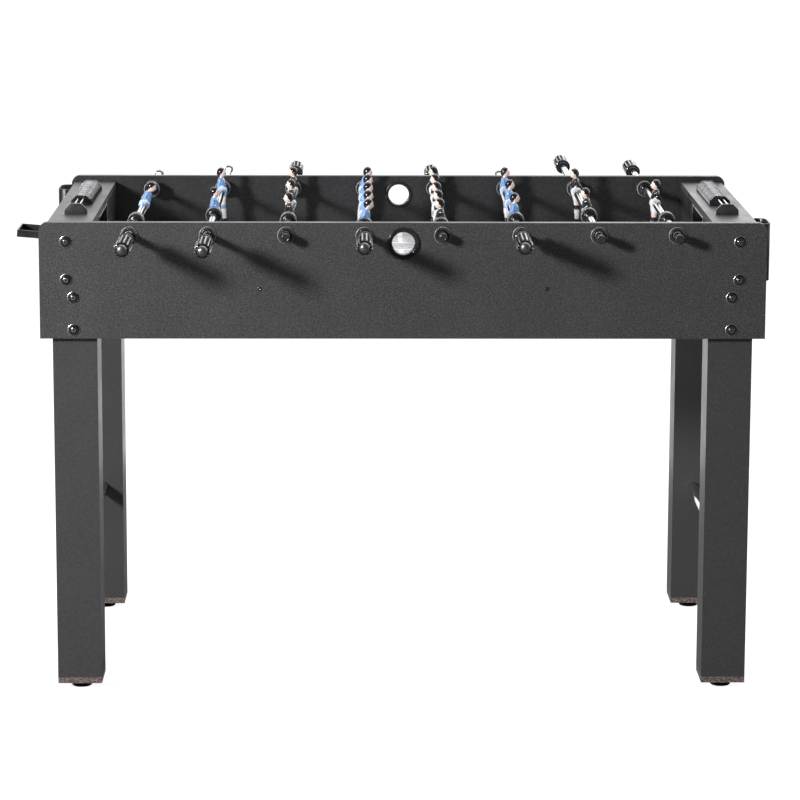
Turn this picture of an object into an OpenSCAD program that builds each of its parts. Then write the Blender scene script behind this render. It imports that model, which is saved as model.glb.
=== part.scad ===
/* [Table] */
// Length of the side panels
table_l = 1219; // [1150:1:1300]
// Width over the two side panels
table_w = 610; // [580:1:660]
// Height of the side panels' top edge above the floor
table_h = 815; // [780:1:860]
// Height of a side panel
panel_h = 197; // [185:1:210]
// Thickness of the side, end and top boards
board_t = 15; // [14:0.5:16]
// Radius of the side panels' upper corners
corner_r = 15; // [8:1:25]
// Gap from the side panels' top edge down to the end boards' surface
end_drop = 11; // [8:0.5:14]

/* [Legs] */
// Width of a leg along the table
leg_w = 75; // [65:1:80]
// Depth of a leg across the table
leg_d = 76; // [65:1:80]
// Distance from the side panels' ends to a leg's outer face
leg_inset = 19.5; // [18:0.5:24]
// Wall thickness of a hollow leg
leg_wall = 12; // [9:1:15]
// Height of the leg's bottom above the floor
leg_lift = 13; // [11:0.5:20]
// Thickness of the block that closes a leg's bottom
block_t = 10.5; // [8:0.5:16]
// Diameter of a stretcher tube
stretcher_d = 20; // [14:0.5:26]
// Height of the stretchers above the floor
stretcher_z = 238; // [200:1:320]

/* [Rods] */
// Diameter of a playing rod
rod_d = 12.7; // [11:0.1:14]
// Distance between neighbouring rods
rod_pitch = 131; // [130:0.5:135]
// Depth of the rods' axes below the side panels' top edge
rod_drop = 21; // [20:0.5:22]
// Length of a handle
handle_l = 105; // [90:1:115]
// Diameter of a handle
handle_d = 28; // [24:0.5:32]
// Diameter of a rod bumper
bumper_d = 29; // [24:0.5:32]
// Length of a rod bumper
bumper_l = 16; // [12:0.5:18]

/* [Figures] */
// Distance from the rod's axis to the soles of a figure
foot_reach = 61.5; // [58:0.5:62]
// Distance from the rod's axis to the top of a figure's head
head_reach = 44; // [40:0.5:48]
// Width of a figure across the shoulders
figure_w = 24; // [20:0.5:26]

/* [Scorers] */
// Length of a scorer over its two end plates
scorer_l = 302; // [280:1:330]
// Width of a scorer
scorer_w = 40; // [36:0.5:44]
// Height of a scorer's end plates
scorer_h = 18.6; // [16:0.2:22]
// Length of one counter along the wires
counter_l = 19; // [16:0.5:20]

/* [Hidden] */
$fn = 48;

// Running clearance between a shaft and its bore
run_gap = 0.05;
// Gap left between two faces on different bodies
face_gap = 0.3;

half_l = table_l / 2;
half_w = table_w / 2;
inner_w = half_w - board_t;
panel_z = table_h - panel_h;
rod_r = rod_d / 2;
rod_z = table_h - rod_drop;

// End boards
end_top_t = 10;
end_top_z = table_h - end_drop;
end_top_in = 527.5;
end_top_out = half_l - 6.5;
end_board_in = end_top_in + 12;
end_wall_out = half_l - leg_inset;
end_wall_in = end_wall_out - board_t;
field_z = rod_z - foot_reach - 4.5;
field_t = 6;
goal_w = 160;
goal_trim_t = 2.5;
goal_top = end_top_z - end_top_t - 4;
corner_block_w = 23;
corner_block_d = 25;
cleat_w = 18;
cleat_h = 28;

// Legs and feet
leg_x = end_wall_out - leg_w / 2;
leg_y = inner_w - leg_d / 2;
leg_bottom = leg_lift + block_t;
leg_top = panel_z + 86.7;
stem_r = 4;
pad_r = 17.5;
pad_h = 8;

// Ball entry holes in the two side panels
entry_z = table_h - 35;
entry_bore_r = 19.2;
entry_sleeve_r = 22;

// Fasteners: x and z of the bolts at one corner, and of the cleat screws
bolt_spots = [[564.5, 782.5], [564.5, 718], [leg_x, 688], [leg_x, 633]];
bolt_r = 3;
screw_spot = [241, field_z - field_t - 19];
screw_r = 2;

// Ball ports, pockets and tray on the ends
port_y = 210;
port_w = 40;
port_bottom = panel_z + 89;
port_top = port_bottom + 42;
pocket_w = 67;
pocket_depth = 34;
pocket_wall = 2.5;
pocket_bottom = panel_z + 88.5;
pocket_top = end_top_z + 1;
tray_w = 76;
tray_l = 86;
tray_h = 12.5;
tray_wall = 2.5;
tray_tilt = 4.7;
tray_z = table_h - 72;

// Rods: figures, side of the handle, rest position and forward lean of each
figures = [1, 2, 3, 5, 5, 3, 2, 1];
handle_front = [true, true, false, true, false, true, false, false];
rest_y = [62, 104, -74, 43, -43, 74, -99, -77];
lean = [22, -2, 10, 13, -12, 13, 3, 4];
bushing_body_r = 10;
bushing_flange_r = 14.5;
bushing_out_t = 3;
bushing_in_t = 2.5;
cap_l = 22;
cap_d = 15.5;
cap_grip = 14;
handle_grip = 62;

// Scorers
scorer_x = (end_top_in + end_top_out) / 2 - 2;
scorer_y0 = -130;
plate_t = 3;
wire_r = 1.5;
wire_x = 4.5;
wire_z = 12.5;
counter_count = 10;
counter_gap = 0.2;

function rod_x(i) = (i - 3.5) * rod_pitch;
// Distance between figures on a rod with n of them
function spacing(n) = n == 2 ? 264 : n == 3 ? 172 : n == 5 ? 106 : 0;
// Distance from the rod's middle to a bumper's middle
function bumper_at(n) = n == 1 ? 202 : n == 2 ? 175 : n == 3 ? 205 : 236;
// Distance from the rod's middle to the end of its handle
function handle_end(n) = n == 1 ? 535 : n == 2 ? 588 : n == 3 ? 518 : 492;
// Distance from the rod's middle to the end of its cap
function cap_end(n) = n == 1 ? 425 : n == 2 ? 453 : n == 3 ? 412 : 376;
// Outline of a scorer plate or counter: upright sides, sloped shoulders and a flat top
function arch(w, h) = [
    [-w / 2, 0], [w / 2, 0], [w / 2, h * 0.44], [w * 0.24, h], [-w * 0.24, h], [-w / 2, h * 0.44]
];

// Repeats its children at the four corners of the table
module corners() {
    for (sx = [-1, 1], sy = [-1, 1])
        mirror([sx < 0 ? 1 : 0, 0, 0])
            mirror([0, sy < 0 ? 1 : 0, 0])
                children();
}

// Repeats its children at both ends, the left one turned half round
module both_ends() {
    for (turn = [0, 180])
        rotate([0, 0, turn])
            children();
}

// Cylinder along Y from y0 to y1
module bar_y(r, y0, y1) {
    translate([0, y1, 0])
        rotate([90, 0, 0])
            cylinder(r = r, h = y1 - y0);
}

// Box from its low corner to its high corner
module box(lo, hi) {
    translate(lo)
        cube(hi - lo);
}

// Side panel at the rear, with its rounded upper corners and all its holes
module side_panel_blank() {
    translate([0, half_w, 0])
        rotate([90, 0, 0])
            linear_extrude(board_t)
                union() {
                    translate([-half_l, panel_z])
                        square([table_l, panel_h - corner_r]);
                    translate([-half_l + corner_r, panel_z])
                        square([table_l - 2 * corner_r, panel_h]);
                    for (sx = [-1, 1])
                        translate([sx * (half_l - corner_r), table_h - corner_r])
                            circle(r = corner_r);
                }
}

module side_panel() {
    color("dimgray")
        difference() {
            side_panel_blank();
            for (i = [0:7])
                translate([rod_x(i), 0, rod_z])
                    bar_y(bushing_body_r, inner_w - 1, half_w + 1);
            translate([0, 0, entry_z])
                bar_y(entry_sleeve_r, inner_w - 1, half_w + 1);
            for (sx = [-1, 1], s = bolt_spots)
                translate([sx * s[0], 0, s[1]])
                    bar_y(bolt_r + 0.1, inner_w - 1, half_w + 1);
            for (sx = [-1, 1])
                translate([sx * screw_spot[0], 0, screw_spot[1]])
                    bar_y(screw_r + 0.1, inner_w - 1, half_w + 1);
        }
}

module side_panel_front() {
    mirror([0, 1, 0])
        side_panel();
}

module side_panel_rear() {
    side_panel();
}

// End walls between the legs, each with the port that lets the balls out
module end_walls() {
    color("dimgray")
        both_ends()
            difference() {
                union() {
                    box([end_wall_in, -inner_w, leg_top + face_gap], [end_wall_out, inner_w, end_top_z - end_top_t]);
                    box([end_wall_in, -inner_w + leg_d + face_gap, panel_z],
                        [end_wall_out, inner_w - leg_d - face_gap, leg_top + 1]);
                }
                box([end_wall_in - 1, -port_y - port_w / 2, port_bottom],
                    [end_wall_out + 1, -port_y + port_w / 2, port_top - port_w / 2]);
                translate([end_wall_in - 1, -port_y, port_top - port_w / 2])
                    rotate([0, 90, 0])
                        cylinder(d = port_w, h = board_t + 2);
            }
}

// Goal walls that stand on the playfield, with the goal mouths
module goal_walls() {
    color([0.16, 0.16, 0.17])
        both_ends()
            difference() {
                box([end_top_in, -inner_w, field_z], [end_board_in, inner_w, end_top_z - end_top_t]);
                box([end_top_in - 1, -goal_w / 2 - goal_trim_t, field_z - 1],
                    [end_board_in + 1, goal_w / 2 + goal_trim_t, goal_top + goal_trim_t]);
            }
}

// Boards that cover the two ends
module end_tops() {
    color("dimgray")
        both_ends()
            box([end_top_in, -inner_w, end_top_z - end_top_t], [end_top_out, inner_w, end_top_z]);
}

module playfield() {
    color("lightgray")
        box([-end_board_in, -inner_w, field_z - field_t], [end_board_in, inner_w, field_z]);
}

// Wooden blocks in the corners and cleats under the playfield
module support_blocks() {
    color("burlywood")
        corners()
            difference() {
                union() {
                    box([end_wall_in - corner_block_w, inner_w - corner_block_d, leg_top + 1],
                        [end_wall_in, inner_w, end_top_z - end_top_t]);
                    box([20, inner_w - cleat_w, field_z - field_t - cleat_h],
                        [end_top_in - 20, inner_w, field_z - field_t]);
                }
                for (s = [bolt_spots[0], bolt_spots[1]])
                    translate([s[0], 0, s[1]])
                        bar_y(bolt_r + 0.1, inner_w - 30, inner_w + 1);
                translate([screw_spot[0], 0, screw_spot[1]])
                    bar_y(screw_r + 0.1, inner_w - 14, inner_w + 1);
            }
}

// Hollow leg at the right rear corner
module leg() {
    color("dimgray")
        difference() {
            box([leg_x - leg_w / 2, leg_y - leg_d / 2, leg_bottom], [leg_x + leg_w / 2, leg_y + leg_d / 2, leg_top]);
            box([leg_x - leg_w / 2 + leg_wall, leg_y - leg_d / 2 + leg_wall, leg_bottom - 1],
                [leg_x + leg_w / 2 - leg_wall, leg_y + leg_d / 2 - leg_wall, leg_top - leg_wall]);
            for (s = [bolt_spots[2], bolt_spots[3]])
                translate([s[0], 0, s[1]])
                    bar_y(bolt_r + 0.1, inner_w - leg_wall - 1, inner_w + 1);
            translate([leg_x, 0, stretcher_z])
                bar_y(stretcher_d / 2, inner_w - leg_d - 1, inner_w - leg_d + leg_wall - 2);
        }
}

module leg_rear_right() {
    leg();
}

module leg_rear_left() {
    mirror([1, 0, 0])
        leg();
}

module leg_front_right() {
    mirror([0, 1, 0])
        leg();
}

module leg_front_left() {
    rotate([0, 0, 180])
        leg();
}

// Raw wooden blocks that close the legs and hold the levelers
module leg_end_blocks() {
    color("saddlebrown")
        corners()
            difference() {
                box([leg_x - leg_w / 2, leg_y - leg_d / 2, leg_lift], [leg_x + leg_w / 2, leg_y + leg_d / 2, leg_bottom]);
                translate([leg_x, leg_y, leg_lift - 1])
                    cylinder(r = stem_r + run_gap, h = block_t + 2);
            }
}

// Tubes that tie the front and rear legs together
module leg_stretchers() {
    reach = inner_w - leg_d + leg_wall - 3;
    color("silver")
        for (sx = [-1, 1])
            translate([sx * leg_x, 0, stretcher_z])
                difference() {
                    bar_y(stretcher_d / 2 - 0.1, -reach, reach);
                    bar_y(stretcher_d / 2 - 1.6, -reach - 1, reach + 1);
                }
}

// Levelling foot: pad, lock nut and threaded stem
module leveler(sx, sy) {
    color([0.1, 0.1, 0.1])
        translate([sx * leg_x, sy * leg_y, 0])
            union() {
                cylinder(r = pad_r, h = 4.5);
                translate([0, 0, 4.5])
                    cylinder(r1 = pad_r, r2 = 11, h = pad_h - 4.5);
                translate([0, 0, pad_h])
                    cylinder(r = 7.5, h = leg_lift - pad_h - face_gap, $fn = 6);
                cylinder(r = stem_r, h = leg_bottom + 16);
            }
}

// Plastic bearings of the rods, two for each rod
module rod_bushings() {
    color([0.07, 0.07, 0.07])
        for (i = [0:7], turn = [0, 180])
            rotate([0, 0, turn])
                translate([rod_x(i), 0, rod_z])
                    difference() {
                        union() {
                            bar_y(bushing_body_r - 0.1, inner_w - 1, half_w + 1);
                            bar_y(bushing_flange_r, half_w, half_w + bushing_out_t);
                            bar_y(bushing_flange_r, inner_w - bushing_in_t, inner_w);
                        }
                        bar_y(rod_r + run_gap, inner_w - 10, half_w + 10);
                    }
}

// Rings of the two ball entry holes
module ball_entry_rings() {
    color([0.07, 0.07, 0.07])
        for (turn = [0, 180])
            rotate([0, 0, turn])
                translate([0, 0, entry_z])
                    difference() {
                        union() {
                            bar_y(entry_sleeve_r - 0.1, inner_w - 1, half_w + 1);
                            bar_y(27.5, half_w, half_w + 3);
                            bar_y(25, inner_w - 2.5, inner_w);
                        }
                        bar_y(entry_bore_r, inner_w - 10, half_w + 10);
                    }
}

// Button-head bolts with washers that hold the legs and corner blocks
module panel_bolts() {
    color([0.1, 0.1, 0.1])
        corners()
            for (s = bolt_spots)
                translate([s[0], 0, s[1]])
                    difference() {
                        union() {
                            bar_y(10.5, half_w, half_w + 1.5);
                            bar_y(6.5, half_w + 1.5, half_w + 4);
                            bar_y(5, half_w + 4, half_w + 5);
                            bar_y(bolt_r, inner_w - 20, half_w + 1);
                        }
                        translate([0, half_w + 6, 0])
                            rotate([90, 0, 0])
                                cylinder(r = 2.3, h = 3.5, $fn = 6);
                    }
}

module cleat_screws() {
    color([0.1, 0.1, 0.1])
        corners()
            translate([screw_spot[0], 0, screw_spot[1]])
                union() {
                    bar_y(screw_r, inner_w - 12, half_w + 0.5);
                    bar_y(3.6, half_w, half_w + 1.5);
                }
}

// Goal liners: the trim round each mouth and the sloping floor that leads a ball to its port
module goal_boxes() {
    mouth = goal_w / 2;
    floor_high = field_z - 4;
    floor_low = panel_z + 91;
    color("silver")
        both_ends()
            union() {
                difference() {
                    box([end_top_in - 1, -mouth - goal_trim_t, field_z],
                        [end_board_in, mouth + goal_trim_t, goal_top + goal_trim_t]);
                    box([end_top_in - 2, -mouth, field_z - 1], [end_board_in + 1, mouth, goal_top]);
                }
                box([end_board_in, mouth, field_z - field_t - 6], [end_wall_in - face_gap, mouth + 2.5, goal_top]);
                translate([end_board_in + face_gap, 0, 0])
                    rotate([90, 0, 90])
                        linear_extrude(end_wall_in - end_board_in - 2 * face_gap)
                            polygon([
                                [mouth + 2, floor_high], [-port_y - port_w / 2 - 6, floor_low],
                                [-port_y - port_w / 2 - 6, floor_low - 2.5], [mouth + 2, floor_high - 2.5]
                            ]);
            }
}

// End plates of the two scorers
module scorer_frames() {
    color([0.06, 0.06, 0.06])
        for (sx = [-1, 1], y = [scorer_y0, scorer_y0 + scorer_l - plate_t])
            translate([sx * scorer_x, y + plate_t, end_top_z])
                rotate([90, 0, 0])
                    linear_extrude(plate_t)
                        difference() {
                            polygon(arch(scorer_w, scorer_h));
                            for (wx = [-wire_x, wire_x])
                                translate([wx, wire_z])
                                    circle(r = wire_r + 0.02, $fn = 24);
                        }
}

// Steel wires that the counters slide on
module scorer_wires() {
    color("silver")
        for (sx = [-1, 1], wx = [-wire_x, wire_x])
            translate([sx * scorer_x + wx, 0, end_top_z + wire_z])
                bar_y(wire_r, scorer_y0 + 0.5, scorer_y0 + scorer_l - 0.5);
}

// The counters of one scorer, pushed to the rear end plate
module scorer_counters(sx) {
    rear = scorer_y0 + scorer_l - plate_t - face_gap;
    color("gainsboro")
        for (k = [0:counter_count - 1])
            translate([sx * scorer_x, rear - k * counter_l, end_top_z + 1])
                rotate([90, 0, 0])
                    linear_extrude(counter_l - counter_gap)
                        difference() {
                            polygon(arch(scorer_w - 3, scorer_h - 2));
                            for (wx = [-wire_x, wire_x])
                                translate([wx, wire_z - 1])
                                    circle(r = wire_r + run_gap, $fn = 24);
                        }
}

// Open tray on the left end, tipped so that nothing rolls off it
module end_tray() {
    color([0.1, 0.1, 0.1])
        union() {
            box([-end_wall_out - 3, -tray_w / 2, tray_z - 14], [-end_wall_out, tray_w / 2, tray_z + 26]);
            intersection() {
                translate([-end_wall_out - 0.5, 0, tray_z])
                    rotate([0, tray_tilt, 0])
                        difference() {
                            box([-tray_l, -tray_w / 2, 0], [5, tray_w / 2, tray_h]);
                            box([-tray_l + tray_wall, -tray_w / 2 + tray_wall, tray_wall],
                                [10, tray_w / 2 - tray_wall, tray_h + 1]);
                        }
                box([-end_wall_out - 200, -100, 0], [-end_wall_out, 100, table_h]);
            }
        }
}

// Half-round pockets that catch the balls outside the ports
module corner_pockets() {
    half = pocket_w / 2;
    round_r = 14;
    color([0.1, 0.1, 0.1])
        both_ends()
            translate([end_wall_out, -port_y, 0])
                difference() {
                    pocket_form(pocket_depth, half, round_r, pocket_bottom, pocket_top);
                    translate([-0.5, 0, 0])
                        pocket_form(pocket_depth - pocket_wall + 0.5, half - pocket_wall, round_r - pocket_wall,
                            pocket_bottom + pocket_wall, pocket_top + 1);
                    box([-1, -half - 1, end_top_z - end_top_t - face_gap],
                        [end_top_out - end_wall_out + face_gap, half + 1, pocket_top + 1]);
                    box([pocket_depth - 8, -20, pocket_bottom + 16], [pocket_depth + 1, 20, pocket_bottom + 50]);
                    translate([pocket_depth - 8, 0, pocket_bottom + 50])
                        rotate([0, 90, 0])
                            cylinder(r = 20, h = 9);
                }
}

// Upright D-shaped block with rounded outer corners
module pocket_form(depth, half, r, z0, z1) {
    translate([0, 0, z0])
        linear_extrude(z1 - z0)
            union() {
                translate([0, -half])
                    square([depth - r, half * 2]);
                translate([depth - r - 1, -half + r])
                    square([r + 1, 2 * (half - r)]);
                for (sy = [-1, 1])
                    translate([depth - r, sy * (half - r)])
                        circle(r = r);
            }
}

// Puts a rod's parts in place: handle to the front, or turned half round
module place_rod(i) {
    translate([rod_x(i), 0, rod_z])
        rotate([0, 0, handle_front[i] ? 0 : 180])
            translate([0, rest_y[i], 0])
                children();
}

module rod_tube(i) {
    n = figures[i];
    color("silver")
        place_rod(i)
            difference() {
                bar_y(rod_r, -handle_end(n) + handle_l - handle_grip, cap_end(n) - cap_l + cap_grip);
                bar_y(rod_r - 1.5, -handle_end(n), cap_end(n));
            }
}

module rod_players(i) {
    n = figures[i];
    front = handle_front[i];
    color(front ? "cornflowerblue" : [0.15, 0.15, 0.17])
        place_rod(i)
            rotate([0, lean[i], 0])
                for (k = [0:n - 1])
                    translate([0, (k - (n - 1) / 2) * spacing(n), 0])
                        figure_body();
}

// Playing figure that faces +X, with its hips round the rod
module figure_body() {
    shoulder = head_reach - 20;
    difference() {
        union() {
            translate([1.5, 0, head_reach - 8.2])
                sphere(r = 8.2);
            translate([0.5, 0, shoulder - 2])
                cylinder(r = 4, h = 8);
            box([-6, -figure_w / 2, 6], [6, figure_w / 2, shoulder]);
            bar_y(9.6, -figure_w / 2 + 1, figure_w / 2 - 1);
            box([-5.5, -figure_w / 2 + 2.5, -foot_reach + 12], [5.5, figure_w / 2 - 2.5, -4]);
            bar_foot();
        }
        bar_y(rod_r + 0.02, -figure_w, figure_w);
    }
}

// Kicking block at the soles of a figure
module bar_foot() {
    translate([0, figure_w / 2 - 1.5, 0])
        rotate([90, 0, 0])
            linear_extrude(figure_w - 3)
                polygon([
                    [-4, -foot_reach + 13], [-5, -foot_reach], [5, -foot_reach],
                    [7, -foot_reach + 4], [6, -foot_reach + 13]
                ]);
}

// Fluted handle at one end of a rod and plain cap at the other
module rod_grips(i) {
    n = figures[i];
    color([0.08, 0.08, 0.08])
        place_rod(i)
            union() {
                translate([0, -handle_end(n), 0])
                    handle();
                translate([0, cap_end(n), 0])
                    difference() {
                        union() {
                            bar_y(cap_d / 2, -cap_l, -2);
                            bar_y(cap_d / 2 - 1.5, -3, 0);
                        }
                        bar_y(rod_r + 0.02, -cap_l - 1, -cap_l + cap_grip);
                    }
            }
}

module handle() {
    r = handle_d / 2;
    difference() {
        union() {
            bar_y(r - 2, 0, 3);
            bar_y(r, 2, handle_l - 12);
            bar_y(r - 1.5, handle_l - 13, handle_l - 4);
            bar_y(r - 4.5, handle_l - 5, handle_l);
        }
        for (a = [0:30:330])
            rotate([0, a, 0])
                translate([r + 0.8, 0, 0])
                    bar_y(2.6, 8, handle_l - 18);
        bar_y(rod_r + 0.02, handle_l - handle_grip, handle_l + 1);
    }
}

// Two bumpers that stop the rod against the side panels
module rod_bumpers(i) {
    n = figures[i];
    color([0.05, 0.05, 0.05])
        place_rod(i)
            for (s = [-1, 1])
                translate([0, s * bumper_at(n), 0])
                    difference() {
                        bar_y(bumper_d / 2, -bumper_l / 2, bumper_l / 2);
                        bar_y(rod_r + run_gap, -bumper_l, bumper_l);
                    }
}

side_panel_front();
side_panel_rear();
end_walls();
goal_walls();
end_tops();
playfield();
support_blocks();
leg_front_left();
leg_front_right();
leg_rear_left();
leg_rear_right();
leg_end_blocks();
leg_stretchers();
leveler(-1, -1);  // leveler_front_left
leveler(1, -1);  // leveler_front_right
leveler(-1, 1);  // leveler_rear_left
leveler(1, 1);  // leveler_rear_right
rod_bushings();
ball_entry_rings();
panel_bolts();
cleat_screws();
goal_boxes();
scorer_frames();
scorer_wires();
scorer_counters(-1);  // scorer_counters_left
scorer_counters(1);  // scorer_counters_right
end_tray();
corner_pockets();
rod_tube(0);  // rod1_tube
rod_players(0);  // rod1_players
rod_grips(0);  // rod1_grips
rod_bumpers(0);  // rod1_bumpers
rod_tube(1);  // rod2_tube
rod_players(1);  // rod2_players
rod_grips(1);  // rod2_grips
rod_bumpers(1);  // rod2_bumpers
rod_tube(2);  // rod3_tube
rod_players(2);  // rod3_players
rod_grips(2);  // rod3_grips
rod_bumpers(2);  // rod3_bumpers
rod_tube(3);  // rod4_tube
rod_players(3);  // rod4_players
rod_grips(3);  // rod4_grips
rod_bumpers(3);  // rod4_bumpers
rod_tube(4);  // rod5_tube
rod_players(4);  // rod5_players
rod_grips(4);  // rod5_grips
rod_bumpers(4);  // rod5_bumpers
rod_tube(5);  // rod6_tube
rod_players(5);  // rod6_players
rod_grips(5);  // rod6_grips
rod_bumpers(5);  // rod6_bumpers
rod_tube(6);  // rod7_tube
rod_players(6);  // rod7_players
rod_grips(6);  // rod7_grips
rod_bumpers(6);  // rod7_bumpers
rod_tube(7);  // rod8_tube
rod_players(7);  // rod8_players
rod_grips(7);  // rod8_grips
rod_bumpers(7);  // rod8_bumpers
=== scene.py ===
import math

import bpy
from mathutils import Matrix, Vector


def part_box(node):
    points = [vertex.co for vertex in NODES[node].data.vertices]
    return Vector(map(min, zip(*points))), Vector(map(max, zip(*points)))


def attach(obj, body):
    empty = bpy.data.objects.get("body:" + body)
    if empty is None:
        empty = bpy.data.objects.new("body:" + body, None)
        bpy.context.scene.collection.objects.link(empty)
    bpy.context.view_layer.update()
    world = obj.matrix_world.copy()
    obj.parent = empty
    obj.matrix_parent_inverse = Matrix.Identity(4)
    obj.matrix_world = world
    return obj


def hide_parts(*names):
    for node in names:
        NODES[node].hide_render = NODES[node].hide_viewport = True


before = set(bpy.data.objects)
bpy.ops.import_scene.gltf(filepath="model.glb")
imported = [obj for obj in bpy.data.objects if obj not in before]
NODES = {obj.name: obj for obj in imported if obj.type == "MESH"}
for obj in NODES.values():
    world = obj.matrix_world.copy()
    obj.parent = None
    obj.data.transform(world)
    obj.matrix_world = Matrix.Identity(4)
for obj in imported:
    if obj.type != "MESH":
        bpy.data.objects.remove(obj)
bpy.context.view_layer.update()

# Foosball table. Metres; +X to the right end, +Y to the rear, +Z up, the floor at 0.
MM = 0.001

# Rods from left to right: does the handle face the front, and how far the players lean, in degrees
HANDLE_IN_FRONT = (True, True, False, True, False, True, False, False)
LEAN = (19, -5, -4, 9, -1, -4, 2, -5)
PLAYERS = (1, 2, 3, 5, 5, 3, 2, 1)

IN_MM = Matrix.Scale(MM, 4)
# Turns a shape built along Z so that it lies along Y
ALONG_Y = Matrix.Rotation(math.radians(-90), 4, "X")
HALF_TURN = Matrix.Rotation(math.pi, 4, "Z")
# A fitting of the rear side panel as it is, and mirrored onto the front one
BOTH_PANELS = (Matrix(), Matrix.Scale(-1, 4, (0, 1, 0)))


# ---------------------------------------------------------------- camera, floor and lights
LENS_MM = 134.48
EYE = Vector((-0.078, -5.2432, 1.5486))
YAW, PITCH, ROLL = (math.radians(a) for a in (-0.839, 9.544, -0.183))
LENS_SHIFT = -0.15


def add_camera():
    ahead = Vector((-math.sin(YAW), math.cos(YAW), 0))
    side = Vector((math.cos(YAW), math.sin(YAW), 0))
    above = Vector((0, 0, 1))
    forward = math.cos(PITCH) * ahead - math.sin(PITCH) * above
    level_up = math.sin(PITCH) * ahead + math.cos(PITCH) * above
    right = math.cos(ROLL) * side - math.sin(ROLL) * level_up
    up = math.sin(ROLL) * side + math.cos(ROLL) * level_up
    data = bpy.data.cameras.new("camera")
    data.lens = LENS_MM
    data.sensor_width = 36
    data.shift_y = LENS_SHIFT
    data.clip_start, data.clip_end = 0.05, 200
    camera = bpy.data.objects.new("camera", data)
    camera.matrix_world = Matrix.Translation(EYE) @ Matrix((right, up, -forward)).transposed().to_4x4()
    bpy.context.scene.collection.objects.link(camera)
    bpy.context.scene.camera = camera


def add_softbox(name, place, target, width, height, watts):
    data = bpy.data.lights.new(name, "AREA")
    data.shape = "RECTANGLE"
    data.size, data.size_y = width, height
    data.energy = watts
    light = bpy.data.objects.new(name, data)
    light.visible_camera = False
    light.location = place
    light.rotation_mode = "QUATERNION"
    light.rotation_quaternion = (Vector(target) - Vector(place)).to_track_quat("-Z", "Y")
    bpy.context.scene.collection.objects.link(light)


def add_world():
    """White studio: bright behind the table, most of all to the right, and dim in front of it."""
    world = bpy.data.worlds.new("studio")
    bpy.context.scene.world = world
    world.use_nodes = True
    tree = world.node_tree
    tree.nodes.clear()
    where = tree.nodes.new("ShaderNodeTexCoord")
    facing = tree.nodes.new("ShaderNodeVectorMath")
    facing.operation = "DOT_PRODUCT"
    facing.inputs[1].default_value = Vector((0.55, 1, 0.1)).normalized()
    tree.links.new(where.outputs["Generated"], facing.inputs[0])
    reach = tree.nodes.new("ShaderNodeMapRange")
    reach.inputs["From Min"].default_value = -1
    tree.links.new(facing.outputs["Value"], reach.inputs["Value"])
    stops = [(0.3, (0.07, 0.07, 0.072)), (0.62, (0.45, 0.45, 0.45)), (0.95, (1.7, 1.7, 1.7))]
    room = tree.nodes.new("ShaderNodeBackground")
    tree.links.new(ramp(tree, reach.outputs["Result"], stops), room.inputs["Color"])
    seen = tree.nodes.new("ShaderNodeBackground")
    mix = camera_switch(tree, room.outputs[0], seen.outputs[0])
    seen.inputs["Color"].default_value = (1, 1, 1, 1)
    out = tree.nodes.new("ShaderNodeOutputWorld")
    tree.links.new(mix, out.inputs["Surface"])


def camera_switch(tree, lighting, seen):
    """One shader that lights the table and another that the camera sees, for the studio itself."""
    path = tree.nodes.new("ShaderNodeLightPath")
    mix = tree.nodes.new("ShaderNodeMixShader")
    tree.links.new(path.outputs["Is Camera Ray"], mix.inputs["Fac"])
    tree.links.new(lighting, mix.inputs[1])
    tree.links.new(seen, mix.inputs[2])
    return mix.outputs[0]


def add_floor():
    """Pale floor, overexposed to white as the camera sees it, but for a faint shadow under the table."""
    material, tree, shader = new_material("floor_paint", (0.17, 0.17, 0.17), 0.9)
    shader.inputs["Specular IOR Level"].default_value = 0
    pale = tree.nodes.new("ShaderNodeBsdfDiffuse")
    pale.inputs["Color"].default_value = (0.3, 0.3, 0.3, 1)
    glow = tree.nodes.new("ShaderNodeEmission")
    glow.inputs["Color"].default_value = (0.9, 0.9, 0.9, 1)
    both = tree.nodes.new("ShaderNodeAddShader")
    tree.links.new(pale.outputs[0], both.inputs[0])
    tree.links.new(glow.outputs[0], both.inputs[1])
    out = tree.nodes["Material Output"]
    tree.links.new(camera_switch(tree, shader.outputs[0], both.outputs[0]), out.inputs["Surface"])
    half = 40  # metres, far beyond every view
    mesh = bpy.data.meshes.new("floor")
    corners = [(-half, -half, 0), (half, -half, 0), (half, half, 0), (-half, half, 0)]
    mesh.from_pydata(corners, [], [(0, 1, 2, 3)])
    mesh.materials.append(material)
    floor = bpy.data.objects.new("floor", mesh)
    bpy.context.scene.collection.objects.link(floor)


# Name, place, target, width, height and watts of each softbox
SOFTBOXES = (
    ("key", (-3.3, -3.45, 2.25), (0.1, -0.1, 0.6), 0.6, 0.6, 285),
    ("window", (-3.3, -2.9, 2.0), (0.1, -0.1, 0.6), 1.8, 1.6, 22),
    ("top", (0, 1.2, 3.6), (0, 0, 0.4), 4.5, 3.0, 60),
    ("back_right", (1.6, 4.2, 1.7), (0.57, 0, 0.8), 2.2, 1.2, 9),
    ("low_rear", (0, 1.4, 0.34), (0, 0, 0.34), 3.2, 0.66, 7),
    ("under_table", (0.2, -0.2, 0.5), (0.4, 0.4, 0.45), 0.5, 0.2, 0.9),
)


def add_studio():
    add_camera()
    add_world()
    add_floor()
    for softbox in SOFTBOXES:
        add_softbox(*softbox)
    view = bpy.context.scene.view_settings
    view.view_transform = "Standard"
    view.look = "None"


# ---------------------------------------------------------------- materials
def new_material(name, colour, roughness, metallic=0.0):
    material = bpy.data.materials.new(name)
    material.use_nodes = True
    tree = material.node_tree
    shader = tree.nodes["Principled BSDF"]
    shader.inputs["Base Color"].default_value = (*colour, 1)
    shader.inputs["Roughness"].default_value = roughness
    shader.inputs["Metallic"].default_value = metallic
    return material, tree, shader


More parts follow.
